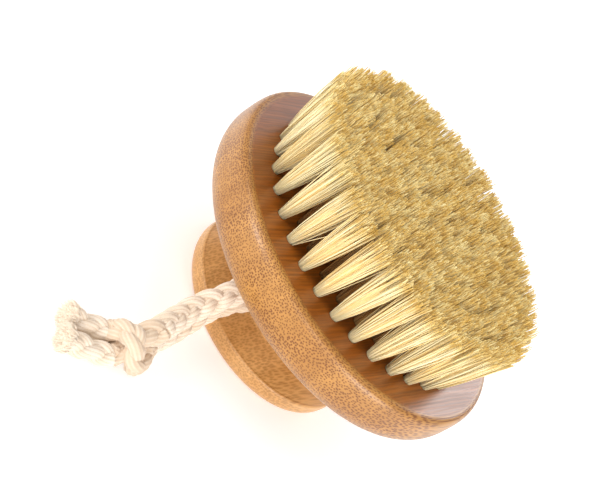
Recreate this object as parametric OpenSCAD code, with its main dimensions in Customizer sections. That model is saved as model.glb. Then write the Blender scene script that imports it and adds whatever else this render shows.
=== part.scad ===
// Round body dry brush: a turned wooden disc full of bristle tufts, a turned knob
// that the fingers hook under, and a cotton rope loop through the neck of the knob.
// Millimetres. The brush stands on the end of its knob, bristles up: the origin is the
// centre of that end face and +Z runs along the turning axis, towards the bristles.

/* [Head] */
// Diameter of the wooden disc
head_d = 101; // [96:0.5:110]
// Thickness of the wooden disc
head_t = 16.5; // [15:0.5:22]
// Width of the rounding between the widest part of the disc and its bristle face
face_round = 3.4; // [2:0.1:4]
// Width of the rounding between the widest part of the disc and its back
back_round = 9; // [4:0.5:10]

/* [Knob] */
// Diameter of the knob at its rim
knob_d = 60; // [56:0.5:66]
// Height of the knob, from its end face to the back of the disc
knob_h = 24.5; // [24:0.5:32]
// Height at which the rim of the knob ends in a crisp edge
rim_h = 6.2; // [5:0.1:7]
// Diameter of the neck between the knob's shoulder and the disc
neck_d = 44; // [40:0.5:46]
// Height at which the sloping shoulder meets the neck
shoulder_h = 10.2; // [9:0.1:11]

/* [Bristles] */
// Length of the bristles above the face of the disc
bristle_l = 23; // [15:0.5:32]
// Diameter of a tuft where it leaves the face
tuft_root_d = 2.8; // [2.4:0.1:2.8]
// Diameter of a tuft at its trimmed tips
tuft_tip_d = 6.7; // [5:0.1:6.8]
// Diameter of the drilled hole that holds a tuft
hole_d = 3; // [3:0.1:3.6]
// Depth of the drilled hole
hole_depth = 9; // [7:0.5:9]

/* [Rope] */
// Diameter of the cotton rope
rope_d = 6.8; // [6:0.1:7]
// Diameter of the bore through the neck that the rope passes through
bore_d = 7.6; // [7.4:0.1:8]
// Height of the bore above the end of the knob
bore_h = 13.5; // [13.5:0.1:14]
// Direction in which the near end of the bore points, in degrees from +X
bore_angle = -107; // [-110:1:-104]

/* [Dowel] */
// Diameter of the dowel that joins the knob to the disc
dowel_d = 9.9; // [8:0.1:9.9]
// Depth of the dowel's socket in the disc, and in the knob
socket_depth = 6; // [4:0.5:6]

/* [Hidden] */
$fn = 64;

face_z = knob_h + head_t;
hole_z = face_z - hole_depth;
widest_z = face_z - 0.45 * head_t;
face_power = 0.5;

// Tuft rings from the outside in: [radius, tufts, angle of the first tuft]
RINGS = [[39.2, 34, -164], [32.2, 28, -158], [25.1, 22, -160], [18.1, 16, -155], [11.1, 9, -150], [4, 3, -140]];

// Anchor plate at the bottom of each hole
anchor_w = 2.6;
anchor_t = 0.6;
anchor_h = 0.9;

// Socket and dowel
socket_d = 10;
socket_gap = 0.2;
dowel_chamfer = 0.8;

// Rounding of the knob's lower edge
knob_foot_r = 26.6;
knob_wide_h = 3.8;
rim_edge_r = 0.8;
neck_fillet = 2;

// Rope: centre line of each stretch, from the bore to the knot and from the knot to the cut ends
rope_sides = 12;
mouth_r = 17;
NEAR_ROUTE = [[-5, -16.3, 13.5], [-6.3, -20.8, 13.4], [-8.1, -25.2, 12.4], [-9.6, -29.7, 10.2],
              [-10.4, -34.4, 7.8], [-10.5, -39, 5.6], [-10.5, -44.4, 4.1], [-10.7, -50, 3.6],
              [-11.1, -55.4, 3.6], [-11.4, -60, 3.8]];
FAR_ROUTE = [[5, 16.3, 13.5], [6.4, 20.8, 13.5], [7, 26, 13.8], [5.6, 31, 14.6], [1, 34.4, 15.6], [-5, 34.6, 16.8],
             [-11, 32, 18], [-16.4, 27.6, 19], [-20.6, 22, 19.7], [-23.6, 15.6, 20.1], [-25.3, 8.6, 20.3],
             [-25.7, 1.4, 20.3], [-25, -5.6, 20.3], [-22.8, -12.2, 20.3], [-18.8, -18, 20.2], [-14.2, -22.4, 20],
             [-11, -26.8, 19.1], [-10.3, -31.8, 17.2], [-11.1, -37, 14.5], [-12, -42, 12.3], [-12.4, -47, 10.9],
             [-12.4, -52, 10.5], [-12.4, -56.4, 10.6], [-12.4, -60.4, 10.8]];
TAIL_A_ROUTE = [[-13.2, -74, 4.4], [-16, -77.6, 3.8], [-19.2, -81.2, 3.6], [-22.4, -84.4, 3.6]];
TAIL_B_ROUTE = [[-18.8, -70.9, 4.8], [-21.4, -73.6, 3.9], [-24, -76.4, 3.6], [-26.7, -79, 3.6]];
KNOT_AT = [-12.2, -67.3, 7];
knot_r = 6.9;
knot_half_l = 7;
knot_end_r = 3.9;
knot_round = 3;

// A quarter turn from one point to another: it leaves p along X when out is true.
// A power of 1 makes it an ellipse, and a smaller one makes it squarer.
function quarter(p, q, out, steps = 8, power = 1) =
    [for (i = [0 : steps]) let (a = 90 * i / steps, c = pow(cos(a), power), s = pow(sin(a), power))
        out ? [p.x + (q.x - p.x) * s, p.y + (q.y - p.y) * (1 - c)]
            : [p.x + (q.x - p.x) * (1 - c), p.y + (q.y - p.y) * s]];

// Directions along a route, and the ring of points around each of its points
function unit(v) = v / norm(v);
function heading(route, i) = unit(route[min(i + 1, len(route) - 1)] - route[max(i - 1, 0)]);
function side(h) = unit(cross(h, [0, 0, 1]));
function tube_ring(route, i, r) =
    let (h = heading(route, i), s = side(h), u = cross(s, h))
    [for (k = [0 : rope_sides - 1]) let (a = 360 * (k + 0.5) / rope_sides)
        route[i] + r * (cos(a) * s + sin(a) * u)];

// A closed tube swept along a route
module tube(route, d) {
    n = rope_sides;
    last = len(route) - 1;
    points = [for (i = [0 : last]) each tube_ring(route, i, d / 2)];
    walls = [for (i = [0 : last - 1], k = [0 : n - 1])
        [i * n + k, i * n + (k + 1) % n, (i + 1) * n + (k + 1) % n, (i + 1) * n + k]];
    start_cap = [for (k = [0 : n - 1]) n - 1 - k];
    end_cap = [for (k = [0 : n - 1]) last * n + k];
    polyhedron(points = points, faces = concat([start_cap], walls, [end_cap]), convexity = 6);
}

// Repeats its children at every tuft of one ring, turned to point outwards
module around(ring) {
    for (i = [0 : ring[1] - 1])
        rotate(ring[2] + 360 * i / ring[1]) translate([ring[0], 0, 0]) children();
}

// Straight cutter or rope along the bore
module along_bore(d, l) {
    translate([0, 0, bore_h]) rotate([0, 90, bore_angle]) cylinder(d = d, h = l, center = true);
}

module brush_head() {
    r = head_d / 2;
    outline = concat([[0, knob_h]],
                     quarter([r - back_round, knob_h], [r, widest_z], true, 12),
                     quarter([r, widest_z], [r - face_round, face_z], false, 12, face_power),
                     [[0, face_z]]);
    color("burlywood") difference() {
        rotate_extrude($fn = 128) polygon(outline);
        translate([0, 0, knob_h - 1]) cylinder(d = socket_d, h = socket_depth + 1);
        for (ring = RINGS)
            around(ring) translate([0, 0, hole_z]) cylinder(d = hole_d, h = hole_depth + 1, $fn = 32);
    }
}

module knob() {
    r = knob_d / 2;
    neck_r = neck_d / 2;
    outline = concat([[0, 0]],
                     quarter([knob_foot_r, 0], [r, knob_wide_h], true),
                     quarter([r - 0.1, rim_h - rim_edge_r], [r - 0.1 - rim_edge_r, rim_h], false, 4),
                     [[neck_r + 0.6, shoulder_h - 0.2],
                      [neck_r, shoulder_h + 0.3]],
                     quarter([neck_r, knob_h - neck_fillet], [neck_r + neck_fillet, knob_h], false, 4),
                     [[0, knob_h]]);
    color("peru") difference() {
        rotate_extrude($fn = 128) polygon(outline);
        along_bore(bore_d, knob_d + 10);
        translate([0, 0, knob_h - socket_depth]) cylinder(d = socket_d, h = socket_depth + 1);
    }
}

module joint_dowel() {
    l = 2 * (socket_depth - socket_gap);
    narrow = dowel_d - 2 * dowel_chamfer;
    color("wheat") translate([0, 0, knob_h - l / 2]) {
        cylinder(d1 = narrow, d2 = dowel_d, h = dowel_chamfer);
        translate([0, 0, dowel_chamfer]) cylinder(d = dowel_d, h = l - 2 * dowel_chamfer);
        translate([0, 0, l - dowel_chamfer]) cylinder(d1 = dowel_d, d2 = narrow, h = dowel_chamfer);
    }
}

// One folded metal anchor under each tuft
module tuft_anchors() {
    color("silver") for (ring = RINGS)
        around(ring) translate([-anchor_w / 2, -anchor_t / 2, hole_z]) cube([anchor_w, anchor_t, anchor_h]);
}

// A ring of tufts, each one tapering out from its hole to its trimmed tips
module tuft_ring(ring) {
    rooted = hole_depth - anchor_h;
    flare = (tuft_tip_d - tuft_root_d) / bristle_l;
    color("khaki") around(ring) translate([0, 0, hole_z + anchor_h])
        cylinder(d1 = tuft_root_d - flare * rooted, d2 = tuft_tip_d, h = rooted + bristle_l, $fn = 32);
}

module tuft_ring_1() tuft_ring(RINGS[0]);
module tuft_ring_2() tuft_ring(RINGS[1]);
module tuft_ring_3() tuft_ring(RINGS[2]);
module tuft_ring_4() tuft_ring(RINGS[3]);
module tuft_ring_5() tuft_ring(RINGS[4]);
module tuft_ring_6() tuft_ring(RINGS[5]);

module rope_in_bore() color("linen") along_bore(rope_d, 2 * mouth_r);
module rope_near_strand() color("linen") tube(NEAR_ROUTE, rope_d);
module rope_far_strand() color("linen") tube(FAR_ROUTE, rope_d);
module rope_tail_a() color("linen") tube(TAIL_A_ROUTE, rope_d);
module rope_tail_b() color("linen") tube(TAIL_B_ROUTE, rope_d);

// Overhand knot that closes the loop, as a plain rounded barrel
module rope_knot() {
    outline = concat([[0, -knot_half_l]],
                     quarter([knot_end_r, -knot_half_l], [knot_r, knot_round - knot_half_l], true),
                     quarter([knot_r, knot_half_l - knot_round], [knot_end_r, knot_half_l], false),
                     [[0, knot_half_l]]);
    color("linen") translate(KNOT_AT) rotate([90, 0, 0]) rotate_extrude() polygon(outline);
}

brush_head();
knob();
joint_dowel();
tuft_anchors();
tuft_ring_1();
tuft_ring_2();
tuft_ring_3();
tuft_ring_4();
tuft_ring_5();
tuft_ring_6();
rope_in_bore();
rope_near_strand();
rope_far_strand();
rope_knot();
rope_tail_a();
rope_tail_b();
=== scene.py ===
import math

import bpy
import numpy as np
from mathutils import Matrix, Vector


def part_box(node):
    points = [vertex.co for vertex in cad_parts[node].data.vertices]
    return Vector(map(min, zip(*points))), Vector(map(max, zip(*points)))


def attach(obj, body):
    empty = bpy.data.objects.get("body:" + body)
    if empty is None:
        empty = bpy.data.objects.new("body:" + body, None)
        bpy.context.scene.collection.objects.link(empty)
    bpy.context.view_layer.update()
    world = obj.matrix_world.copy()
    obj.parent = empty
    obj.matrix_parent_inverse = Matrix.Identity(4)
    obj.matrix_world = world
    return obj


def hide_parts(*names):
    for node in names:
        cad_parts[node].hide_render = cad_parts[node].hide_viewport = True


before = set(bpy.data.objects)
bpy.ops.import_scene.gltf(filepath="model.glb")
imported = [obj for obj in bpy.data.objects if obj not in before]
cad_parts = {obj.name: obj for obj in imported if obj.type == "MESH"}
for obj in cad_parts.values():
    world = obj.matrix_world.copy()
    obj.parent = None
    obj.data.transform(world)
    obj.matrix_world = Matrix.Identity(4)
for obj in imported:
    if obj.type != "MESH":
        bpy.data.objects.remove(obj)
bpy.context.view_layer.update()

MM = 0.001
BODY = "root"

# ---- Sizes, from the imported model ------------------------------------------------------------
head_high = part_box("brush_head")[1]
tip_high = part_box("tuft_ring_1")[1]
FACE_Z = head_high[2]
HEAD_R = head_high[0]
RIM_ROUND = 3.4 * MM          # width of the rounding between the flat face and the rim
BRISTLE_L = tip_high[2] - FACE_Z

# Tuft rings from the outside in: radius in mm, number of tufts, direction of the first tuft in
# degrees, and fibres in a tuft
RINGS = [(39.2, 34, -164, 135), (32.2, 28, -158, 120), (25.1, 22, -160, 120),
         (18.1, 16, -155, 120), (11.1, 9, -150, 120), (4.0, 3, -140, 120)]
OUTER_R = RINGS[0][0]
TUFT_ROOT_R = 0.95 * MM
TUFT_TIP_R = 3.75 * MM

# How far the tips splay outwards on two sides: direction in degrees, and distance
SPLAY = [(163, 1.9 * MM), (-17, 0.9 * MM)]

# Rope: the diameter, and the same centre lines as the CAD tubes, as points in mm
ROPE_D = 6.8 * MM
NEAR_ROUTE = [(-5, -16.3, 13.5), (-6.3, -20.8, 13.4), (-8.1, -25.2, 12.4), (-9.6, -29.7, 10.2),
              (-10.4, -34.4, 7.8), (-10.5, -39, 5.6), (-10.5, -44.4, 4.1), (-10.7, -50, 3.6),
              (-11.1, -55.4, 3.6), (-11.4, -60, 3.8)]
FAR_ROUTE = [(5, 16.3, 13.5), (6.4, 20.8, 13.5), (7, 26, 13.8), (5.6, 31, 14.6), (1, 34.4, 15.6),
             (-5, 34.6, 16.8), (-11, 32, 18), (-16.4, 27.6, 19), (-20.6, 22, 19.7),
             (-23.6, 15.6, 20.1), (-25.3, 8.6, 20.3), (-25.7, 1.4, 20.3), (-25, -5.6, 20.3),
             (-22.8, -12.2, 20.3), (-18.8, -18, 20.2), (-14.2, -22.4, 20), (-11, -26.8, 19.1),
             (-10.3, -31.8, 17.2), (-11.1, -37, 14.5), (-12, -42, 12.3), (-12.4, -47, 10.9),
             (-12.4, -52, 10.5), (-12.4, -56.4, 10.6), (-12.4, -60.4, 10.8)]
TAIL_A_ROUTE = [(-13.2, -74, 4.4), (-16, -77.6, 3.8), (-19.2, -81.2, 3.6), (-22.4, -84.4, 3.6)]
TAIL_B_ROUTE = [(-18.8, -70.9, 4.8), (-21.4, -73.6, 3.9), (-24, -76.4, 3.6), (-26.7, -79, 3.6)]

rng = np.random.default_rng(7)


# ---- Camera ----------------------------------------------------------------------------------
CAM_ELEVATION = math.radians(28.6)
CAM_ROLL = math.radians(58.1)
CAM_DISTANCE = 389 * MM
CAM_ASIDE = 20 * MM
LENS = 87.5
SENSOR = 36


def make_camera():
    """A camera that looks down on the near side of the brush, rolled so that +Z leans right."""
    back = Vector((0, -math.cos(CAM_ELEVATION), math.sin(CAM_ELEVATION)))
    level_right = Vector((1, 0, 0))
    level_up = back.cross(level_right)
    right = math.cos(CAM_ROLL) * level_right + math.sin(CAM_ROLL) * level_up
    up = back.cross(right)
    data = bpy.data.cameras.new("camera")
    data.lens = LENS
    data.sensor_width = SENSOR
    data.clip_start = 0.01
    data.clip_end = 50
    camera = bpy.data.objects.new("camera", data)
    bpy.context.scene.collection.objects.link(camera)
    place = Vector((0, 0, FACE_Z)) - right * CAM_ASIDE + back * CAM_DISTANCE
    turn = Matrix((right, up, back)).transposed().to_4x4()
    camera.matrix_world = Matrix.Translation(place) @ turn
    bpy.context.scene.camera = camera


make_camera()


# ---- Meshes ----------------------------------------------------------------------------------
def add_mesh(name, points, faces, attributes=None, smooth=True):
    """A new mesh object from numpy points and a list of faces, with float values on its points."""
    mesh = bpy.data.meshes.new(name)
    mesh.from_pydata(points.reshape(-1, 3).tolist(), [], faces)
    for key, values in (attributes or {}).items():
        layer = mesh.attributes.new(key, "FLOAT", "POINT")
        layer.data.foreach_set("value", np.asarray(values, dtype=np.float32).ravel())
    if smooth:
        mesh.shade_smooth()
    else:
        mesh.shade_flat()
    mesh.update()
    obj = bpy.data.objects.new(name, mesh)
    bpy.context.scene.collection.objects.link(obj)
    return obj


def unit(v):
    return v / np.maximum(np.linalg.norm(v, axis=-1, keepdims=True), 1e-12)


CURVE_STEPS = 40        # samples between two points of a route, before they are spaced evenly


def smooth_route(points, spacing):
    """A Catmull-Rom curve through points given in mm, sampled evenly, in metres."""
    p = np.array(points, float) * MM
    p = np.vstack([2 * p[0] - p[1], p, 2 * p[-1] - p[-2]])
    fine = []
    for i in range(1, len(p) - 2):
        t = np.linspace(0, 1, CURVE_STEPS, endpoint=False)[:, None]
        a, b, c, d = p[i - 1], p[i], p[i + 1], p[i + 2]
        fine.append(0.5 * (2 * b + (c - a) * t + (2 * a - 5 * b + 4 * c - d) * t ** 2
                           + (3 * b - a - 3 * c + d) * t ** 3))
    fine = np.vstack(fine + [p[-2:-1]])
    along = np.concatenate([[0], np.cumsum(np.linalg.norm(np.diff(fine, axis=0), axis=1))])
    count = max(2, int(round(along[-1] / spacing)) + 1)
    even = np.linspace(0, along[-1], count)
    return np.stack([np.interp(even, along, fine[:, k]) for k in range(3)], axis=1)


def frames_along(route):
    """Direction, side and up at each point of a route."""
    ahead = unit(np.gradient(route, axis=0))
    side = unit(np.cross(ahead, (0, 0, 1.0)))
    return ahead, side, np.cross(side, ahead)


def tube(centres, radius, sides):
    """Points and faces of a closed tube. radius is one row of sides values for each centre."""
    n = len(centres)
    _, side, up = frames_along(centres)
    angle = 2 * math.pi * np.arange(sides) / sides
    ring = np.cos(angle)[None, :, None] * side[:, None] + np.sin(angle)[None, :, None] * up[:, None]
    points = centres[:, None] + ring * radius[:, :, None]
    k = np.arange(sides)
    faces = []
    for i in range(n - 1):
        a = i * sides
        b = a + sides
        j = (k + 1) % sides
        faces += np.stack([a + k, a + j, b + j, b + k], axis=1).tolist()
    faces.append(list(range(sides - 1, -1, -1)))
    faces.append(list(range((n - 1) * sides, n * sides)))
    return points.reshape(-1, 3), faces


PLAIT_PITCH = 2.7       # length of a strand's whole path across the plait and back, in diameters
PLAIT_WIDE = 0.22       # how far a strand swings to each side, in diameters
PLAIT_DEEP = 0.15       # how far a strand rises and dips, in diameters
STRAND_R = 0.27         # radius of a strand, in diameters
YARNS = 9               # yarn ridges round a strand
YARN_DEPTH = 0.08       # height of a ridge, in strand radii
YARN_TURN = 2.0         # how fast the ridges wind round a strand, in radians for each diameter
YARN_SIDES = 36         # points round a strand
STRAND_SHIFT = 10       # moves each strand to another part of the yarn pattern, in diameters


def plait(route, diameter, phase=0.0, squeeze=None, painted_lightness=1.0):
    """Three plaited strands of ridged yarn, as (points, faces, marks).

    squeeze scales the thickness along the route. The last argument scales the shade mark, and a low
    value makes the yarn darker, as painted shade.
    """
    _, side, up = frames_along(route)
    s = np.concatenate([[0], np.cumsum(np.linalg.norm(np.diff(route, axis=0), axis=1))])
    scale = np.ones(len(route)) if squeeze is None else squeeze
    theta = 2 * math.pi * np.arange(YARN_SIDES) / YARN_SIDES
    wind = theta[None] + YARN_TURN * s[:, None] / diameter
    ridge = np.cos(YARNS * wind)
    parts = []
    for strand in range(3):
        turn = 2 * math.pi * (s / (PLAIT_PITCH * diameter) + strand / 3) + phase
        across = PLAIT_WIDE * diameter * scale * np.sin(turn)
        rise = PLAIT_DEEP * diameter * scale * np.sin(2 * turn)
        centres = route + side * across[:, None] + up * rise[:, None]
        radius = STRAND_R * diameter * scale[:, None] * (1 + YARN_DEPTH * ridge)
        points, faces = tube(centres, radius, YARN_SIDES)
        # the shade mark paints shade into the grooves between the yarn ridges
        shade = np.broadcast_to(painted_lightness, len(route))[:, None] * (0.5 + 0.5 * ridge)
        place = np.broadcast_to(s[:, None] / diameter + STRAND_SHIFT * strand, wind.shape)
        marks = {"shade": shade, "yarn_x": np.cos(wind), "yarn_y": np.sin(wind), "yarn_s": place}
        parts.append((points, faces, {key: mark.ravel() for key, mark in marks.items()}))
    return join(parts)


def join(parts):
    """Several (points, faces, marks) parts as one."""
    points, faces = [], []
    start = 0
    for part_points, part_faces, marks in parts:
        points.append(part_points)
        faces += [[start + v for v in face] for face in part_faces]
        start += len(part_points)
    together = {key: np.concatenate([part[2][key] for part in parts]) for key in parts[0][2]}
    return np.vstack(points), faces, together


def fibres(roots, tips, bow, root_r, tip_r, segments=3):
    """Three-sided fibres from roots to tips: points, faces and how far along each point is."""
    n = len(roots)
    t = np.linspace(0, 1, segments + 1)
    run = tips - roots
    centres = (roots[:, None] + run[:, None] * t[None, :, None]
               + bow[:, None] * (4 * t * (1 - t))[None, :, None])
    spin = rng.normal(size=(n, 3))
    side = unit(np.cross(run, spin))
    up = unit(np.cross(run, side))
    radius = root_r[:, None] + (tip_r - root_r)[:, None] * t[None]
    points = np.empty((n, segments + 1, 3, 3))
    for k in range(3):
        a = 2 * math.pi * k / 3
        out = math.cos(a) * side + math.sin(a) * up
        points[:, :, k] = centres + radius[:, :, None] * out[:, None]
    base = np.arange(n)[:, None] * (segments + 1) * 3
    quads = []
    for i in range(segments):
        for k in range(3):
            j = (k + 1) % 3
            quads.append(base + np.array([[i * 3 + k, i * 3 + j, i * 3 + 3 + j, i * 3 + 3 + k]]))
    last = segments * 3
    caps = np.vstack([base + np.array([[2, 1, 0]]), base + np.array([[last, last + 1, last + 2]])])
    faces = np.vstack(quads).tolist() + caps.tolist()
    along = np.broadcast_to(t[None, :, None], (n, segments + 1, 3)).ravel()
    return points.reshape(-1, 3), faces, along


# ---- Materials -------------------------------------------------------------------------------
class Nodes:
    """A material's node tree, with short ways to add and join nodes."""

    def __init__(self, name):
        self.material = bpy.data.materials.new(name)
        self.material.use_nodes = True
        self.tree = self.material.node_tree
        self.shader = self.tree.nodes["Principled BSDF"]

    def add(self, kind, **values):
        node = self.tree.nodes.new(kind)
        for key, value in values.items():
            setattr(node, key, value)
        return node

    def feed(self, socket, value):
        """Joins a socket to another, or sets it to a plain value."""
        if isinstance(value, bpy.types.NodeSocket):
            self.tree.links.new(value, socket)
        else:
            socket.default_value = value

    def position(self):
        return self.add("ShaderNodeTexCoord").outputs["Object"]

    def math(self, operation, a, b):
        node = self.add("ShaderNodeMath", operation=operation)
        for socket, value in zip(node.inputs, (a, b)):
            self.feed(socket, value)
        return node.outputs[0]

    def steps(self, value, low, high, to_low=0.0, to_high=1.0):
        """value eased from low..high to to_low..to_high."""
        node = self.add("ShaderNodeMapRange", interpolation_type="SMOOTHSTEP")
        for socket, v in zip(node.inputs, (value, low, high, to_low, to_high)):
            self.feed(socket, v)
        return node.outputs[0]

    def noise(self, vector, scale, detail=2.0, rough=0.5):
        """Noise with so many cells in each unit of the vector, which is a metre for positions."""
        node = self.add("ShaderNodeTexNoise")
        self.feed(node.inputs["Vector"], vector)
        node.inputs["Scale"].default_value = scale
        node.inputs["Detail"].default_value = detail
        node.inputs["Roughness"].default_value = rough
        return node.outputs["Fac"]

    def mix(self, factor, a, b, blend="MIX"):
        node = self.add("ShaderNodeMix", data_type="RGBA", blend_type=blend)
        self.feed(node.inputs["Factor"], factor)
        self.feed(node.inputs[6], a)
        self.feed(node.inputs[7], b)
        return node.outputs[2]

    def turned(self, vector, angle):
        node = self.add("ShaderNodeVectorRotate", rotation_type="Z_AXIS")
        self.feed(node.inputs["Vector"], vector)
        node.inputs["Angle"].default_value = angle
        return node.outputs[0]

    def scaled(self, vector, scale):
        node = self.add("ShaderNodeMapping")
        self.feed(node.inputs["Vector"], vector)
        node.inputs["Scale"].default_value = scale
        return node.outputs[0]

    def from_axis(self):
        """Distance from the turning axis."""
        node = self.add("ShaderNodeVectorMath", operation="LENGTH")
        self.feed(node.inputs[0], self.scaled(self.position(), (1, 1, 0)))
        return node.outputs["Value"]

    def height(self):
        parts = self.add("ShaderNodeSeparateXYZ")
        self.feed(parts.inputs[0], self.position())
        return parts.outputs["Z"]

    def across_grain(self, vector, drift, reach, lift=0.0):
        """The coordinates across the fibres, which wander along them. lift adds to the height."""
        parts = self.add("ShaderNodeSeparateXYZ")
        self.feed(parts.inputs[0], vector)
        shift = self.math("MULTIPLY", self.math("SUBTRACT", drift, 0.5), 2 * reach)
        pair = self.add("ShaderNodeCombineXYZ")
        self.feed(pair.inputs[0], self.math("ADD", parts.outputs["Y"], shift))
        level = self.math("SUBTRACT", parts.outputs["Z"], shift)
        self.feed(pair.inputs[1], self.math("ADD", level, lift))
        return pair.outputs[0]

    def bump(self, height, strength, distance):
        node = self.add("ShaderNodeBump")
        self.feed(node.inputs["Height"], height)
        node.inputs["Strength"].default_value = strength
        node.inputs["Distance"].default_value = distance
        self.tree.links.new(node.outputs[0], self.shader.inputs["Normal"])


GRAIN_ANGLE = math.radians(73)   # direction of the wood's fibres, from +X
FIBRE_WANDER = 0.5 * MM          # how far a fibre bundle wanders to each side along the wood
BUNDLES_PER_M = 1500             # fibre bundles in a metre of end grain
BUNDLE_COLOUR = (0.17, 0.05, 0.005)
GRAIN_STRETCH = 0.02             # how much slower the grain changes along the fibres than across


def rgba(r, g, b):
    return (r, g, b, 1.0)


def shade_of(colour, share):
    """A darker or lighter shade of a colour, clipped at white."""
    return rgba(*(min(1, share * c) for c in colour))


def bamboo(name, pale, deep, dot_strength, face_tone_and_shade=None):
    """Lacquered bamboo: dark fibre bundles, which are dots on end grain and fine lines along it.

    The last argument, for the disc only, multiplies the colour on its flat face: a darker wood tone
    there, and painted shade under the bristles.
    """
    n = Nodes(name)
    place = n.turned(n.position(), -GRAIN_ANGLE)
    grain = n.scaled(place, (GRAIN_STRETCH, 1, 1))
    strips = n.noise(n.scaled(place, (0.004, 1, 0.35)), 85, 2, 0.6)
    tone = n.mix(n.steps(strips, 0.35, 0.68), rgba(*pale), rgba(*deep))
    mottle = n.noise(grain, 420, 3, 0.6)
    tone = n.mix(n.steps(mottle, 0.3, 0.75, 0.0, 0.35), tone, shade_of(deep, 0.62))
    fine = n.noise(grain, 2600, 2, 0.55)
    tone = n.mix(n.steps(fine, 0.35, 0.7, 0.0, 0.30), tone, shade_of(deep, 0.55))
    lift = 0.0
    if face_tone_and_shade:                # the dots follow the surface round the corner of the rim
        near_top = n.steps(n.height(), FACE_Z - RIM_ROUND, FACE_Z - 0.5 * RIM_ROUND)
        inward = n.math("SUBTRACT", HEAD_R, n.from_axis())
        lift = n.math("MINIMUM", n.math("MAXIMUM", inward, 0.0), RIM_ROUND)
        lift = n.math("MULTIPLY", near_top, lift)
    drift = n.noise(n.scaled(place, (1, 0.02, 0.02)), 90, 1)
    across = n.across_grain(place, drift, FIBRE_WANDER, lift)
    cells = n.add("ShaderNodeTexVoronoi", feature="F1", voronoi_dimensions="2D")
    n.feed(cells.inputs["Vector"], across)
    cells.inputs["Scale"].default_value = BUNDLES_PER_M
    cells.inputs["Randomness"].default_value = 0.8
    size = n.steps(n.noise(grain, 140, 2, 0.5), 0.32, 0.68, 0.20, 0.33)
    dots = n.steps(n.math("SUBTRACT", size, cells.outputs["Distance"]), -0.07, 0.07)
    halo = n.steps(n.math("SUBTRACT", cells.outputs["Distance"], size), 0.08, 0.3)
    tone = n.mix(n.math("MULTIPLY", halo, 0.25), tone, shade_of(pale, 1.25))
    if face_tone_and_shade:
        # painted shade: the flat face is darkened, partly a darker wood tone and partly shade under
        # the bristles
        on_face = n.math("MULTIPLY", near_top, n.steps(inward, 0.55 * RIM_ROUND, 0.95 * RIM_ROUND))
        shaded = n.mix(1.0, tone, rgba(*face_tone_and_shade), "MULTIPLY")
        tone = n.mix(on_face, tone, shaded)
        streaks = n.steps(n.noise(grain, 1900, 3, 0.65), 0.42, 0.66, 0.0, 0.35)
        tone = n.mix(n.math("MULTIPLY", streaks, on_face), tone, shade_of(deep, 0.25))
        dot_strength = n.math("SUBTRACT", dot_strength, n.math("MULTIPLY", on_face, 0.45))
    tone = n.mix(n.math("MULTIPLY", dots, dot_strength), tone, rgba(*BUNDLE_COLOUR))
    n.feed(n.shader.inputs["Base Color"], tone)
    n.feed(n.shader.inputs["Roughness"], n.steps(fine, 0.3, 0.7, 0.34, 0.44))
    n.shader.inputs["Specular IOR Level"].default_value = 0.35
    n.shader.inputs["Coat Weight"].default_value = 0.34
    n.shader.inputs["Coat Roughness"].default_value = 0.32
    n.bump(n.math("SUBTRACT", fine, dots), 0.22, 0.06 * MM)
    return n.material


def plant_fibre(name):
    """Pale plant fibre: cream with golden, trimmed tips, each fibre a shade of its own."""
    n = Nodes(name)
    tone = n.add("ShaderNodeAttribute", attribute_name="tone").outputs["Fac"]
    along = n.add("ShaderNodeAttribute", attribute_name="along").outputs["Fac"]
    root_shaded_ring = n.add("ShaderNodeAttribute", attribute_name="root_shaded_ring").outputs["Fac"]
    side = n.mix(tone, rgba(0.96, 0.86, 0.54), rgba(0.88, 0.61, 0.21))
    tip = n.mix(tone, rgba(0.99, 0.83, 0.39), rgba(0.76, 0.46, 0.08))
    colour = n.mix(n.steps(along, 0.8, 1.0), side, tip)
    grain = n.noise(n.position(), 900, 2)
    colour = n.mix(n.steps(grain, 0.3, 0.7, 0.0, 0.25), colour, rgba(0.93, 0.80, 0.52))
    patches = n.noise(n.position(), 330, 2, 0.6)
    trimmed = n.steps(along, 0.85, 1.0)
    golden = n.math("MULTIPLY", n.steps(patches, 0.40, 0.60, 0.0, 0.8), trimmed)
    colour = n.mix(golden, colour, rgba(0.70, 0.42, 0.08))
    outer = n.math("SUBTRACT", 1.0, root_shaded_ring)
    # painted light: the outer ring is lightened towards its roots
    painted_root_light = n.math("MULTIPLY", outer, n.steps(along, 0.06, 0.3, 0.75, 0.0))
    colour = n.mix(painted_root_light, colour, rgba(1.0, 0.91, 0.60))
    # painted shade: the inner rings, behind the outer one, are darkened towards their roots
    shaded = n.math("MULTIPLY", root_shaded_ring, n.steps(along, 0.3, 0.95, 1.0, 0.0))
    colour = n.mix(n.math("MULTIPLY", shaded, 0.85), colour, rgba(0.38, 0.155, 0.025))
    n.feed(n.shader.inputs["Base Color"], colour)
    n.shader.inputs["Roughness"].default_value = 0.48
    n.shader.inputs["Specular IOR Level"].default_value = 0.2
    n.bump(grain, 0.3, 0.03 * MM)
    return n.material


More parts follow.
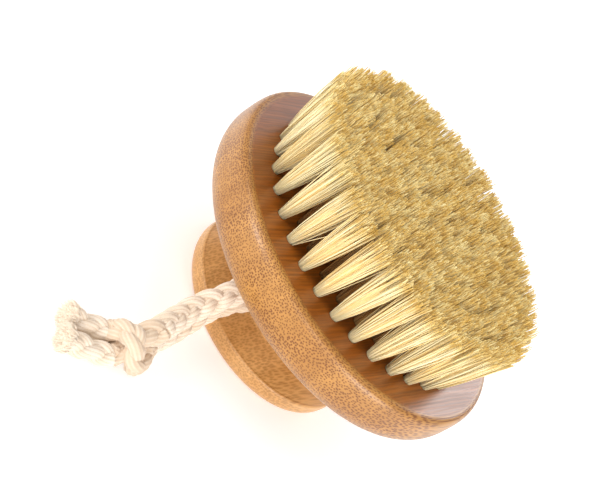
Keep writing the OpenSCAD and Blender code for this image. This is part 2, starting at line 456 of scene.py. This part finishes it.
def cotton(name):
    """Natural cotton: cream, with fine fibres along each yarn and painted shade in the grooves
    between ridges.
    """
    n = Nodes(name)
    shade = n.add("ShaderNodeAttribute", attribute_name="shade").outputs["Fac"]
    yarn = n.add("ShaderNodeCombineXYZ")
    for socket, mark in zip(yarn.inputs, ("yarn_x", "yarn_y", "yarn_s")):
        n.feed(socket, n.add("ShaderNodeAttribute", attribute_name=mark).outputs["Fac"])
    lines = n.noise(n.scaled(yarn.outputs[0], (1, 1, 0.35)), 9, 3, 0.6)
    nap = n.noise(n.position(), 1500, 3, 0.6)
    blotch = n.noise(n.position(), 240, 2)
    # painted shade: the yarn is darker in the grooves between its ridges
    raised = n.steps(shade, 0, 0.5)
    colour = n.mix(raised, rgba(0.64, 0.48, 0.34), rgba(0.86, 0.73, 0.58))
    colour = n.mix(n.steps(lines, 0.4, 0.62, 0.0, 0.55), colour, rgba(0.66, 0.50, 0.35))
    pale = n.math("MULTIPLY", raised, n.steps(blotch, 0.35, 0.7, 0.0, 0.5))
    colour = n.mix(pale, colour, rgba(0.90, 0.80, 0.70))
    colour = n.mix(n.steps(nap, 0.4, 0.7, 0.0, 0.2), colour, rgba(0.64, 0.50, 0.37))
    colour = n.mix(n.steps(shade, 1.0, 1.5), colour, rgba(0.94, 0.81, 0.66))
    n.feed(n.shader.inputs["Base Color"], colour)
    n.shader.inputs["Roughness"].default_value = 0.95
    n.shader.inputs["Specular IOR Level"].default_value = 0.1
    n.shader.inputs["Sheen Weight"].default_value = 0.2
    n.shader.inputs["Sheen Roughness"].default_value = 0.5
    n.bump(n.math("SUBTRACT", n.math("MULTIPLY", nap, 0.5), lines), 0.8, 0.14 * MM)
    return n.material


def raw_wood(name):
    n = Nodes(name)
    grain = n.noise(n.scaled(n.position(), (1, 1, 0.05)), 900, 3)
    tone = n.mix(grain, rgba(0.72, 0.52, 0.30), rgba(0.50, 0.32, 0.16))
    n.feed(n.shader.inputs["Base Color"], tone)
    n.shader.inputs["Roughness"].default_value = 0.7
    n.bump(grain, 0.3, 0.08 * MM)
    return n.material


def wire_metal(name):
    n = Nodes(name)
    streak = n.noise(n.scaled(n.position(), (1, 1, 0.1)), 3000, 2)
    tone = n.mix(streak, rgba(0.58, 0.57, 0.55), rgba(0.72, 0.71, 0.69))
    n.feed(n.shader.inputs["Base Color"], tone)
    n.shader.inputs["Metallic"].default_value = 1.0
    n.feed(n.shader.inputs["Roughness"], n.steps(streak, 0.3, 0.7, 0.28, 0.42))
    return n.material


RIM_PALE = (0.455, 0.212, 0.047)
RIM_DEEP = (0.325, 0.132, 0.022)
# colour on the disc's flat face: partly a darker wood tone, partly painted shade under the bristles
FACE_TONE_AND_SHADE = (0.78, 0.48, 0.20)

head_wood = bamboo("head_bamboo", RIM_PALE, RIM_DEEP, 1.0, FACE_TONE_AND_SHADE)
knob_wood = bamboo("knob_bamboo", (0.64, 0.345, 0.125), (0.49, 0.235, 0.066), 0.22)
bristle_look = plant_fibre("plant_fibre")
rope_look = cotton("cotton_rope")
FINISH = {"brush_head": head_wood, "knob": knob_wood, "joint_dowel": raw_wood("raw_beech"),
          "tuft_anchors": wire_metal("anchor_wire"), "rope_in_bore": rope_look}
for node, look in FINISH.items():
    for material_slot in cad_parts[node].material_slots:
        material_slot.material = look


# ---- Bristles --------------------------------------------------------------------------------
FIBRE_ROOT_R = 0.115 * MM
FIBRE_TIP_R = 0.125 * MM
FIBRE_THICK = (0.75, 1.2)   # thinnest and thickest fibre, as shares of those radii
ROOT_SINK = 2.5 * MM        # how deep the visible fibres start below the face
STRAY_SHARE = 0.035         # share of the fibres whose tips stand well out of their tuft
STRAY_REACH = 5             # how much further than the others

# How uneven the tufts are: standard deviations, in mm
TUFT_LEAN = 0.35            # tips of a whole tuft, sideways
FIBRE_LEAN = 0.25           # tip of one fibre, sideways
TUFT_TRIM = 0.25            # height of a whole tuft
FIBRE_TRIM = 0.42           # height of one fibre
FIBRE_BOW = 0.18            # middle of one fibre, sideways

# Tone of a fibre, from 0, the palest, to 1, the most golden: mean and standard deviations
TONE_MEAN = 0.38
TONE_SPREAD = 0.31          # from fibre to fibre
TUFT_TONE_SPREAD = 0.1      # from tuft to tuft

# Shape of a tuft, in mm
BELLY = 0.35                # how far the outer fibres bow outwards
MEAN_DROP = 0.5             # how far the tips end below the CAD height
EDGE_DROP = 1.0             # how much lower the edge of a tuft is than its middle
TOP_LIMIT = 0.3             # how far a tip may stand over the CAD height

# Packed core of a tuft: height over the face in mm, and share of the tuft's width there
CORE_PROFILE = [(-2.5, 0.88), (0, 0.95), (5, 0.96), (10, 0.93), (14, 0.76), (17, 0.33)]
CORE_SIDES = 10
# a deep golden tone, as painted warm shade in the gaps between the fibres
CORE_SHADE_TONE = 0.85


def tuft_cores(radius, tufts, first_angle):
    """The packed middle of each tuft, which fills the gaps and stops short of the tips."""
    rings = []
    for height, share in CORE_PROFILE:
        at = max(height, 0) / (BRISTLE_L / MM)
        tuft_r = TUFT_ROOT_R + (TUFT_TIP_R - TUFT_ROOT_R) * at
        rings.append((FACE_Z + height * MM, share * tuft_r))
    angle = 2 * math.pi * np.arange(CORE_SIDES) / CORE_SIDES
    points, faces, along = [], [], []
    for i in range(tufts):
        a = math.radians(first_angle) + 2 * math.pi * i / tufts
        x, y = radius * MM * math.cos(a), radius * MM * math.sin(a)
        start = len(points)
        for z, r in rings:
            points += [(x + r * math.cos(t), y + r * math.sin(t), z) for t in angle]
            along += [(z - FACE_Z) / BRISTLE_L] * CORE_SIDES
        for j in range(len(rings) - 1):
            b = start + j * CORE_SIDES
            for k in range(CORE_SIDES):
                after = (k + 1) % CORE_SIDES
                faces.append([b + k, b + after, b + CORE_SIDES + after, b + CORE_SIDES + k])
        faces.append([start + CORE_SIDES - 1 - k for k in range(CORE_SIDES)])
        faces.append([start + (len(rings) - 1) * CORE_SIDES + k for k in range(CORE_SIDES)])
    return np.array(points), faces, np.array(along)


def sheaves(radius, tufts, first_angle, per_tuft):
    """Fibres of a ring of tufts, fanned out to trimmed tips: points, faces, along and tone."""
    n = tufts * per_tuft
    tuft = np.repeat(np.arange(tufts), per_tuft)
    angle = np.radians(first_angle) + 2 * math.pi * tuft / tufts
    centre = np.stack([np.cos(angle), np.sin(angle), 0 * angle], axis=1) * radius * MM
    spread = np.sqrt(rng.uniform(0, 1, n))
    way = rng.uniform(0, 2 * math.pi, n)
    out = np.stack([np.cos(way), np.sin(way), 0 * way], axis=1)
    roots = centre + out * (spread * TUFT_ROOT_R)[:, None]
    roots[:, 2] = FACE_Z - ROOT_SINK
    lean = np.repeat(rng.normal(0, TUFT_LEAN, (tufts, 2)), per_tuft, axis=0) * MM
    loose = rng.normal(0, FIBRE_LEAN, (n, 2)) * MM
    stray = rng.uniform(0, 1, n) < STRAY_SHARE
    loose[stray] *= STRAY_REACH
    tips = centre + out * (spread * TUFT_TIP_R)[:, None]
    for way_out, reach in SPLAY:
        share = np.maximum(0, np.cos(angle - math.radians(way_out))) ** 3
        tips += centre * (reach / (OUTER_R * MM) * share * (radius / OUTER_R))[:, None]
    tips[:, :2] += lean + loose
    trim = np.repeat(rng.normal(0, TUFT_TRIM, tufts), per_tuft)
    height = BRISTLE_L / MM - MEAN_DROP - EDGE_DROP * spread ** 3
    height = height + trim + rng.normal(0, FIBRE_TRIM, n)
    tips[:, 2] = FACE_Z + np.minimum(height, BRISTLE_L / MM + TOP_LIMIT) * MM
    bow = rng.normal(0, FIBRE_BOW, (n, 3)) * MM + out * spread[:, None] * (BELLY * MM)
    bow[:, 2] = 0
    thick = rng.uniform(*FIBRE_THICK, n)
    points, faces, along = fibres(roots, tips, bow, FIBRE_ROOT_R * thick, FIBRE_TIP_R * thick)
    tone = rng.normal(TONE_MEAN, TONE_SPREAD, n)
    tone += np.repeat(rng.normal(0, TUFT_TONE_SPREAD, tufts), per_tuft)
    return points, faces, along, np.repeat(np.clip(tone, 0, 1), len(points) // n)


def make_tuft_ring(number, radius, tufts, first_angle, per_tuft):
    """One ring of tufts: fibres and packed cores as one piece."""
    points, faces, along, tones = sheaves(radius, tufts, first_angle, per_tuft)
    core, core_faces, core_along = tuft_cores(radius, tufts, first_angle)
    faces += [[len(points) + v for v in face] for face in core_faces]
    points = np.vstack([points, core])
    along = np.concatenate([along, core_along])
    tones = np.concatenate([tones, np.full(len(core), CORE_SHADE_TONE)])
    root_shaded_ring = np.full(len(points), 1.0 if number > 1 else 0.0)   # the inner rings get painted shade towards their roots
    marks = {"along": along, "tone": tones, "root_shaded_ring": root_shaded_ring}
    ring = add_mesh(f"bristles_{number}", points, faces, marks)
    ring.data.materials.append(bristle_look)
    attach(ring, BODY)
    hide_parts(f"tuft_ring_{number}")


for number, (radius, tufts, first_angle, per_tuft) in enumerate(RINGS, start=1):
    make_tuft_ring(number, radius, tufts, first_angle, per_tuft)


# ---- Rope ------------------------------------------------------------------------------------
RING_SPACING = 0.4 * MM


def rope_piece(name, parts, node):
    """A rope piece made of plaited parts, in place of its CAD solid."""
    piece = add_mesh(name, *join(parts))
    piece.data.materials.append(rope_look)
    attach(piece, BODY)
    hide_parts(node)
    return piece


FRAY_COUNT = 700
FRAY_R = 0.12 * MM
FRAY_FROM = 2 * MM              # how far inside the cut end the loose yarns start
FRAY_REACH = (1.6, 3.0)         # length of the loose yarns, in mm
FRAY_WIDE = 0.48                # how far from the centre line they go, in diameters
FRAY_ROOT_WIDE = 0.9            # share of that at their roots
FRAY_TIP_WIDE = 1.15            # and at their ends
FRAY_TAPER = 0.7                # thickness of their ends, as a share of their roots'
FRAY_SPREAD = 0.25              # standard deviation of their ends, in mm
FRAY_BOW = 0.2                  # and of their middles, in mm
FRAY_SHADE = 1.5                # marks the loose yarns for the cotton's pale colour
LOWEST_TIP = 0.15 * MM          # loose yarns stay this far above the table
LOWEST_ROOT = 0.25 * MM


def frayed_end(route, diameter):
    """Loose yarn ends that stand out of a cut end."""
    ahead, side, up = (v[-1] for v in frames_along(route))
    way = rng.uniform(0, 2 * math.pi, FRAY_COUNT)
    spread = np.sqrt(rng.uniform(0, 1, FRAY_COUNT)) * FRAY_WIDE * diameter
    out = np.cos(way)[:, None] * side + np.sin(way)[:, None] * up
    start = route[-1] - ahead * FRAY_FROM
    reach = rng.uniform(*FRAY_REACH, FRAY_COUNT)[:, None] * MM
    roots = start + out * spread[:, None] * FRAY_ROOT_WIDE
    tips = start + out * spread[:, None] * FRAY_TIP_WIDE + ahead * reach
    tips += rng.normal(0, FRAY_SPREAD, (FRAY_COUNT, 3)) * MM
    tips[:, 2] = np.maximum(tips[:, 2], LOWEST_TIP)
    roots[:, 2] = np.maximum(roots[:, 2], LOWEST_ROOT)
    bow = rng.normal(0, FRAY_BOW, (FRAY_COUNT, 3)) * MM
    bow[:, 2] = np.abs(bow[:, 2])
    thick = np.full(FRAY_COUNT, FRAY_R)
    points, faces, along = fibres(roots, tips, bow, thick, FRAY_TAPER * thick)
    lean = np.repeat(rng.uniform(-1, 1, (FRAY_COUNT, 2)), len(points) // FRAY_COUNT, axis=0)
    shade = np.full(len(points), FRAY_SHADE)
    marks = {"shade": shade, "yarn_x": lean[:, 0], "yarn_y": lean[:, 1], "yarn_s": along}
    return points, faces, marks


def flare(route, at_start, at_end):
    """A share that eases from one value to another along a route."""
    t = np.linspace(0, 1, len(route))
    return at_start + (at_end - at_start) * t * t * (3 - 2 * t)


# Inside the knot: the two strands run on through it, and a wrap winds once round both
CORE_A_ROUTE = [NEAR_ROUTE[-1], (-12.2, -64.4, 5), (-13, -69, 5.2), TAIL_A_ROUTE[0]]
CORE_B_ROUTE = [FAR_ROUTE[-1], (-12.8, -64.4, 9.8), (-14, -67.8, 8.4), (-16.6, -70, 7),
                TAIL_B_ROUTE[0]]
WRAP_ROUTE = [(-11, -58.8, 3.5), (-9.4, -61.2, 3.2), (-8.8, -64.8, 3.2), (-9, -68.2, 4.4),
              (-10.4, -70.2, 7.4), (-12.8, -70.6, 9.8), (-15.4, -70, 9.6), (-17.2, -69, 7),
              (-16.6, -68.4, 4), (-13.6, -67.6, 3.5)]
KNOT_SQUEEZE = 0.85        # thickness where a strand leaves the knot, as a share of the diameter
TAIL_END = 0.9             # and at the cut end
WRAP_D = 0.92 * ROPE_D

# Painted shade in the yarn: the knot is darker than the strands, and so is the near strand at the
# bore
KNOT_PAINTED_LIGHTNESS = 0.3
MOUTH_PAINTED_LIGHTNESS = 0.2
NEAR_PAINTED_LIGHTNESS = 1.1           # the near strand where it reaches the knot

near = smooth_route(NEAR_ROUTE, RING_SPACING)
far = smooth_route(FAR_ROUTE, RING_SPACING)
core_a = smooth_route(CORE_A_ROUTE, RING_SPACING)
core_b = smooth_route(CORE_B_ROUTE, RING_SPACING)
wrap = smooth_route(WRAP_ROUTE, RING_SPACING)

near_plait = plait(near, ROPE_D, painted_lightness=flare(near, MOUTH_PAINTED_LIGHTNESS, NEAR_PAINTED_LIGHTNESS))
near_strand = rope_piece("rope_near", [near_plait], "rope_near_strand")
far_strand = rope_piece("rope_far", [plait(far, ROPE_D, 1.0)], "rope_far_strand")

knot_parts = []
for core in (core_a, core_b):
    knot_parts.append(plait(core, ROPE_D, 0.0, flare(core, 1, KNOT_SQUEEZE), KNOT_PAINTED_LIGHTNESS))
knot_parts.append(plait(wrap, WRAP_D, painted_lightness=KNOT_PAINTED_LIGHTNESS))
knot = rope_piece("knot", knot_parts, "rope_knot")

for letter, tail_route in (("a", TAIL_A_ROUTE), ("b", TAIL_B_ROUTE)):
    tail = smooth_route(tail_route, RING_SPACING)
    parts = [plait(tail, ROPE_D, 0.0, flare(tail, KNOT_SQUEEZE, TAIL_END)),
             frayed_end(tail, ROPE_D)]
    rope_piece(f"rope_end_{letter}", parts, f"rope_tail_{letter}")


# ---- Floor and light -------------------------------------------------------------------------
FLOOR_HALF = 12.0          # half the floor's width, in metres
FLOOR_GLOW = 0.3           # the floor lights itself a little, to come near the photo's white
WORLD_LIGHT = 0.74

# Softboxes: name, azimuth and elevation in degrees, distance and size in metres, power in watts
SOFTBOXES = [("key", -150, 34, 0.8, 0.45, 1.9), ("strip", -132, 3, 0.8, 0.12, 2.2),
             ("front", -75, 22, 1.0, 0.5, 2.5), ("low_fill", -28, 6, 0.9, 0.5, 6.4),
             ("back", 90, 30, 1.0, 0.8, 1.4), ("right_back", 77, 26, 1.0, 0.28, 1.5)]


def make_floor():
    n = Nodes("studio_floor")
    n.shader.inputs["Base Color"].default_value = rgba(0.93, 0.93, 0.93)
    n.shader.inputs["Roughness"].default_value = 0.9
    n.shader.inputs["Emission Color"].default_value = rgba(1, 1, 1)
    n.shader.inputs["Emission Strength"].default_value = FLOOR_GLOW
    corners = [(-1, -1, 0), (1, -1, 0), (1, 1, 0), (-1, 1, 0)]
    points = FLOOR_HALF * np.array(corners, float)
    floor = add_mesh("studio_floor", points, [[0, 1, 2, 3]], smooth=False)
    floor.data.materials.append(n.material)


def make_softbox(name, azimuth, elevation, distance, size, power):
    """A square area light that points at the middle of the brush."""
    data = bpy.data.lights.new(name, "AREA")
    data.size = size
    data.energy = power
    lamp = bpy.data.objects.new(name, data)
    bpy.context.scene.collection.objects.link(lamp)
    a, e = math.radians(azimuth), math.radians(elevation)
    way = Vector((math.cos(a) * math.cos(e), math.sin(a) * math.cos(e), math.sin(e)))
    target = Vector((0, 0, 0.7 * FACE_Z))
    lamp.location = target + way * distance
    lamp.rotation_euler = way.to_track_quat("Z", "Y").to_euler()


def make_world(strength):
    world = bpy.data.worlds.new("studio")
    world.use_nodes = True
    background = world.node_tree.nodes["Background"]
    background.inputs["Color"].default_value = rgba(1, 1, 1)
    background.inputs["Strength"].default_value = strength
    bpy.context.scene.world = world


make_floor()
for softbox in SOFTBOXES:
    make_softbox(*softbox)
make_world(WORLD_LIGHT)
bpy.context.scene.view_settings.view_transform = "Standard"
